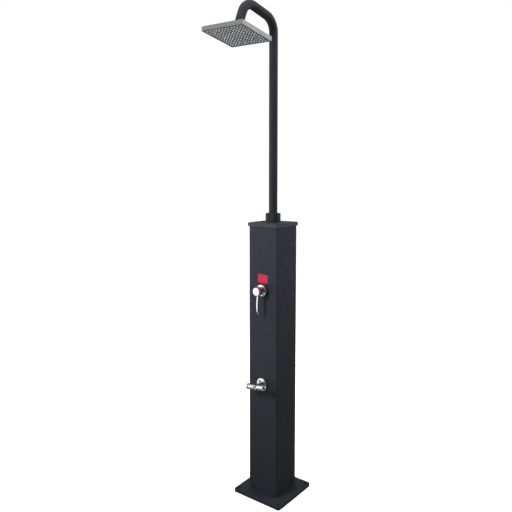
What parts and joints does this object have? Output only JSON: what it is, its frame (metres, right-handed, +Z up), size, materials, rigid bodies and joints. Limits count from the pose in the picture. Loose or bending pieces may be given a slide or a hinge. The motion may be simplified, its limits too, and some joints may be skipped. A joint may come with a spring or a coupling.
{
  "type": "outdoor shower post",
  "caption": "Outdoor shower post: square column with a single-lever mixer and a foot tap, a round gooseneck riser and a square rain head on a ball joint.",
  "frame": {"origin": "centre of the base plate's underside, on the floor", "axes": "+Z up the post, -Y out of the face that carries the mixer and the foot tap, +X to the right of someone who stands at the controls and faces them"},
  "size_m": [0.25, 0.476, 2.1499],
  "materials": {
    "coated_aluminium": "dark anthracite powder coat on aluminium",
    "cap_plastic": "dark anthracite moulded plastic",
    "coated_steel": "dark anthracite powder coat on steel",
    "zinc_steel": "zinc-plated steel",
    "black_screw": "black oxide",
    "red_vinyl": "red self-adhesive vinyl",
    "coated_brass": "dark anthracite coat on turned brass",
    "chromed_brass": "polished chrome",
    "brass": "plain turned brass",
    "copper_pipe": "bent copper pipe",
    "seal_rubber": "black sealing rubber",
    "disc_white": "smooth white valve disc",
    "cartridge_plastic": "pale moulded plastic",
    "steel_small": "stainless steel",
    "tank_plastic": "black blow-moulded plastic",
    "head_steel": "brushed stainless steel",
    "face_plastic": "charcoal moulded plastic",
    "nozzle_silicone": "pale silicone"
  },
  "bodies": {
    "post": {"base_plate": "coated_aluminium", "foot_socket": "zinc_steel", "base_screws": "zinc_steel", "base_nuts": "zinc_steel", "foot_screws": "black_screw", "column_tube": "coated_aluminium", "top_cap": "cap_plastic", "top_bridge": "zinc_steel", "front_label": "red_vinyl", "riser_connector": "coated_brass", "connector_gasket": "seal_rubber", "connector_locknut": "brass", "riser_seal": "seal_rubber", "riser_nut": "coated_steel", "wall_gaskets": "seal_rubber", "wall_locknuts": "brass", "hose_inlet": "chromed_brass", "inlet_manifold": "brass", "tap_tee": "brass", "water_tank": "tank_plastic", "tank_shelf": "zinc_steel", "lower_cold_pipe": "copper_pipe", "upper_cold_pipe": "copper_pipe", "hot_pipe": "copper_pipe", "mixed_pipe": "copper_pipe", "pipe_nuts": "brass", "mixer_body": "brass", "mixer_gasket": "seal_rubber", "mixer_locknut": "brass", "mixer_flange": "chromed_brass", "mixer_fixed_disc": "disc_white", "mixer_cartridge": "cartridge_plastic", "mixer_gland": "chromed_brass", "tap_flange": "chromed_brass", "tap_body": "chromed_brass", "tap_outlet_insert": "cartridge_plastic", "tap_bonnet": "chromed_brass"},
    "riser": {"riser_pipe": "coated_steel", "riser_ferrule": "brass", "outlet_plug": "coated_brass", "swivel_nut": "coated_brass", "swivel_washer": "seal_rubber"},
    "swivel": {"swivel_ball": "chromed_brass"},
    "head": {"ball_collar": "coated_brass", "ball_seat": "cartridge_plastic", "head_shell": "head_steel", "face_plate": "face_plastic", "nozzle_mat": "nozzle_silicone"},
    "turret": {"mixer_turret": "cartridge_plastic", "mixer_pin": "steel_small"},
    "lever": {"mixer_handle": "chromed_brass", "mixer_stem": "brass", "handle_screw": "steel_small"},
    "disc": {"mixer_moving_disc": "disc_white"},
    "tap": {"tap_handle": "chromed_brass", "tap_spindle": "brass", "tap_handle_screw": "steel_small"}
  },
  "joints": [
    {"name": "riser_turn", "type": "hinge", "parent": "post", "child": "riser", "pos_m": [0, 0, 1.2573], "axis": [0, 0, 1], "range_deg": [-180, 180]},
    {"name": "head_swivel", "type": "hinge", "parent": "riser", "child": "swivel", "pos_m": [0, -0.24341, 2.01991], "axis": [0, -0.3907, -0.9205], "range_deg": [-180, 180]},
    {"name": "head_tilt", "type": "hinge", "parent": "swivel", "child": "head", "pos_m": [0, -0.24341, 2.01991], "axis": [-1, 0, 0], "range_deg": [-5, 34]},
    {"name": "mixer_turn", "type": "hinge", "parent": "post", "child": "turret", "pos_m": [0, -0.083, 0.938], "axis": [0, 1, 0], "range_deg": [-45, 45]},
    {"name": "mixer_lift", "type": "hinge", "parent": "turret", "child": "lever", "pos_m": [0, -0.083, 0.938], "axis": [-1, 0, 0], "range_deg": [0, 20]},
    {"name": "mixer_disc_slide", "type": "slide", "parent": "turret", "child": "disc", "axis": [0, 0, -1], "range_m": [0, 0.0035]},
    {"name": "tap_turn", "type": "hinge", "parent": "post", "child": "tap", "pos_m": [0, -0.126, 0.519], "axis": [0, 1, 0], "range_deg": [0, 90]}
  ],
  "couplings": [
    {"joint": "mixer_disc_slide", "follows": "mixer_lift", "m_per_rad": 0.0099}
  ]
}
